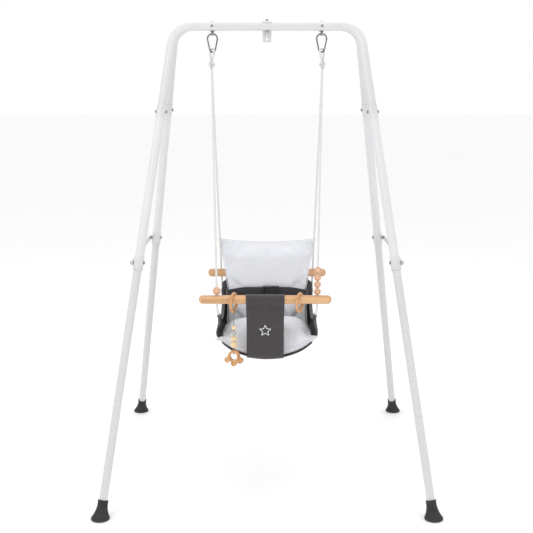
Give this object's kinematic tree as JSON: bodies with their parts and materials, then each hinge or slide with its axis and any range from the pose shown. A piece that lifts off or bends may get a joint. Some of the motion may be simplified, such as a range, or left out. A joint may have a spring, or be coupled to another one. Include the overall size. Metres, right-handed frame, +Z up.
{
  "type": "baby swing",
  "caption": "Folding A-frame stand with a hanging toddler seat: canvas sling, cushions, lap belt, wooden bars, ropes, beads, rings and a toy.",
  "frame": {"origin": "on the floor, at the middle of the stand's footprint, under the top bars", "axes": "+Z up; the seat faces -Y; +X to the right seen from in front"},
  "size_m": [0.913, 0.909, 1.2861],
  "materials": {
    "white_powder_coat": "satin",
    "black_rubber": "matte",
    "bolt_steel": "satin",
    "dark_steel": "satin",
    "white_rope": "matte",
    "bar_wood": "satin",
    "ring_wood": "satin",
    "bead_wood": "satin",
    "toy_bead_wood": "satin",
    "teether_wood": "satin",
    "grey_string": "matte",
    "grey_canvas": "matte",
    "pale_cushion": "matte",
    "black_webbing": "matte",
    "black_plastic": "satin"
  },
  "bodies": {
    "front_frame": {"front_top_tube": "white_powder_coat", "front_middle_tube_left": "white_powder_coat", "front_middle_tube_right": "white_powder_coat", "front_lower_leg_left": "white_powder_coat", "front_lower_leg_right": "white_powder_coat", "front_foot_left": "black_rubber", "front_foot_right": "black_rubber", "front_joint_bolts": "bolt_steel", "front_spreader_bolts": "dark_steel", "centre_bracket": "white_powder_coat", "centre_bracket_bolt": "bolt_steel", "hanger_strap_left": "dark_steel", "hanger_strap_right": "dark_steel", "hanger_bolts": "bolt_steel"},
    "rear_frame": {"rear_top_tube": "white_powder_coat", "rear_middle_tube_left": "white_powder_coat", "rear_middle_tube_right": "white_powder_coat", "rear_lower_leg_left": "white_powder_coat", "rear_lower_leg_right": "white_powder_coat", "rear_foot_left": "black_rubber", "rear_foot_right": "black_rubber", "rear_joint_bolts": "bolt_steel", "rear_spreader_bolts": "dark_steel"},
    "front_link_left": {"front_spreader_link_left": "white_powder_coat", "front_spreader_rivet_left": "dark_steel"},
    "front_link_right": {"front_spreader_link_right": "white_powder_coat", "front_spreader_rivet_right": "dark_steel"},
    "rear_link_left": {"rear_spreader_link_left": "white_powder_coat", "rear_spreader_rivet_left": "dark_steel"},
    "rear_link_right": {"rear_spreader_link_right": "white_powder_coat", "rear_spreader_rivet_right": "dark_steel"},
    "seat": {"snap_hook_left": "dark_steel", "snap_hook_right": "dark_steel", "gate_pins": "dark_steel", "rope_left": "white_rope", "rope_right": "white_rope", "rope_knot_left": "white_rope", "rope_knot_right": "white_rope", "front_bar": "bar_wood", "back_bar": "bar_wood", "canvas_front_panel": "grey_canvas", "canvas_seat": "grey_canvas", "canvas_wing_left": "grey_canvas", "canvas_wing_right": "grey_canvas", "seat_cushion": "pale_cushion", "back_cushion": "pale_cushion", "belt_left": "black_webbing", "belt_right": "black_webbing", "buckle_socket": "black_plastic"},
    "gate_left": {"hook_gate_left": "dark_steel"},
    "gate_right": {"hook_gate_right": "dark_steel"},
    "buckle_plug": {"buckle_plug": "black_plastic"},
    "beads_right": {"rope_beads_right": "bead_wood"},
    "bead_left": {"rope_bead_left": "bead_wood"},
    "ring_left": {"ring_left": "ring_wood"},
    "ring_right": {"ring_right": "ring_wood"},
    "toy": {"toy_string": "grey_string", "toy_beads": "toy_bead_wood", "teether": "teether_wood"}
  },
  "joints": [
    {"name": "stand_fold", "type": "hinge", "parent": "front_frame", "child": "rear_frame", "pos_m": [0, 0.015, 1.2675], "axis": [-1, 0, 0], "range_deg": [0, 34.5]},
    {"name": "front_link_left_fold", "type": "hinge", "parent": "front_frame", "child": "front_link_left", "pos_m": [-0.362, -0.22136, 0.638], "axis": [1, 0, 0], "range_deg": [0, 76.53]},
    {"name": "rear_link_left_fold", "type": "hinge", "parent": "rear_frame", "child": "rear_link_left", "pos_m": [-0.3655, 0.22136, 0.638], "axis": [-1, 0, 0], "range_deg": [0, 56.14]},
    {"name": "front_link_right_fold", "type": "hinge", "parent": "front_frame", "child": "front_link_right", "pos_m": [0.362, -0.22136, 0.638], "axis": [1, 0, 0], "range_deg": [0, 76.53]},
    {"name": "rear_link_right_fold", "type": "hinge", "parent": "rear_frame", "child": "rear_link_right", "pos_m": [0.3655, 0.22136, 0.638], "axis": [-1, 0, 0], "range_deg": [0, 56.14]},
    {"name": "seat_swing", "type": "hinge", "parent": "front_frame", "child": "seat", "pos_m": [0, 0, 1.247], "axis": [1, 0, 0], "range_deg": [-35, 35]},
    {"name": "gate_left_open", "type": "hinge", "parent": "seat", "child": "gate_left", "pos_m": [-0.16115, 0, 1.20727], "axis": [0, 1, 0], "range_deg": [0, 22], "stiffness_Nm_per_rad": 0.05, "springref_deg": -14.32},
    {"name": "gate_right_open", "type": "hinge", "parent": "seat", "child": "gate_right", "pos_m": [0.16115, 0, 1.20727], "axis": [0, -1, 0], "range_deg": [0, 22], "stiffness_Nm_per_rad": 0.05, "springref_deg": -14.32},
    {"name": "buckle_release", "type": "slide", "parent": "seat", "child": "buckle_plug", "axis": [-1, 0, 0], "range_m": [0, 0.026]},
    {"name": "beads_right_slide", "type": "slide", "parent": "seat", "child": "beads_right", "axis": [0.0264, 0.2614, 0.9649], "range_m": [0, 0.42]},
    {"name": "bead_left_slide", "type": "slide", "parent": "seat", "child": "bead_left", "axis": [-0.0264, 0.2614, 0.9649], "range_m": [0, 0.48]},
    {"name": "ring_left_swing", "type": "hinge", "parent": "seat", "child": "ring_left", "pos_m": [-0.092, -0.172, 0.526], "axis": [1, 0, 0], "range_deg": [-50, 4]},
    {"name": "ring_right_swing", "type": "hinge", "parent": "seat", "child": "ring_right", "pos_m": [0.09, -0.172, 0.526], "axis": [1, 0, 0], "range_deg": [-60, 60]},
    {"name": "toy_swing", "type": "hinge", "parent": "ring_left", "child": "toy", "pos_m": [-0.092, -0.172, 0.4923], "axis": [0.2924, 0.9563, 0], "range_deg": [-25, 25]}
  ],
  "couplings": [
    {"joint": "front_link_left_fold", "follows": "stand_fold", "ratio": 2.2154},
    {"joint": "rear_link_left_fold", "follows": "stand_fold", "ratio": 1.6243},
    {"joint": "front_link_right_fold", "follows": "stand_fold", "ratio": 2.2154},
    {"joint": "rear_link_right_fold", "follows": "stand_fold", "ratio": 1.6243}
  ]
}
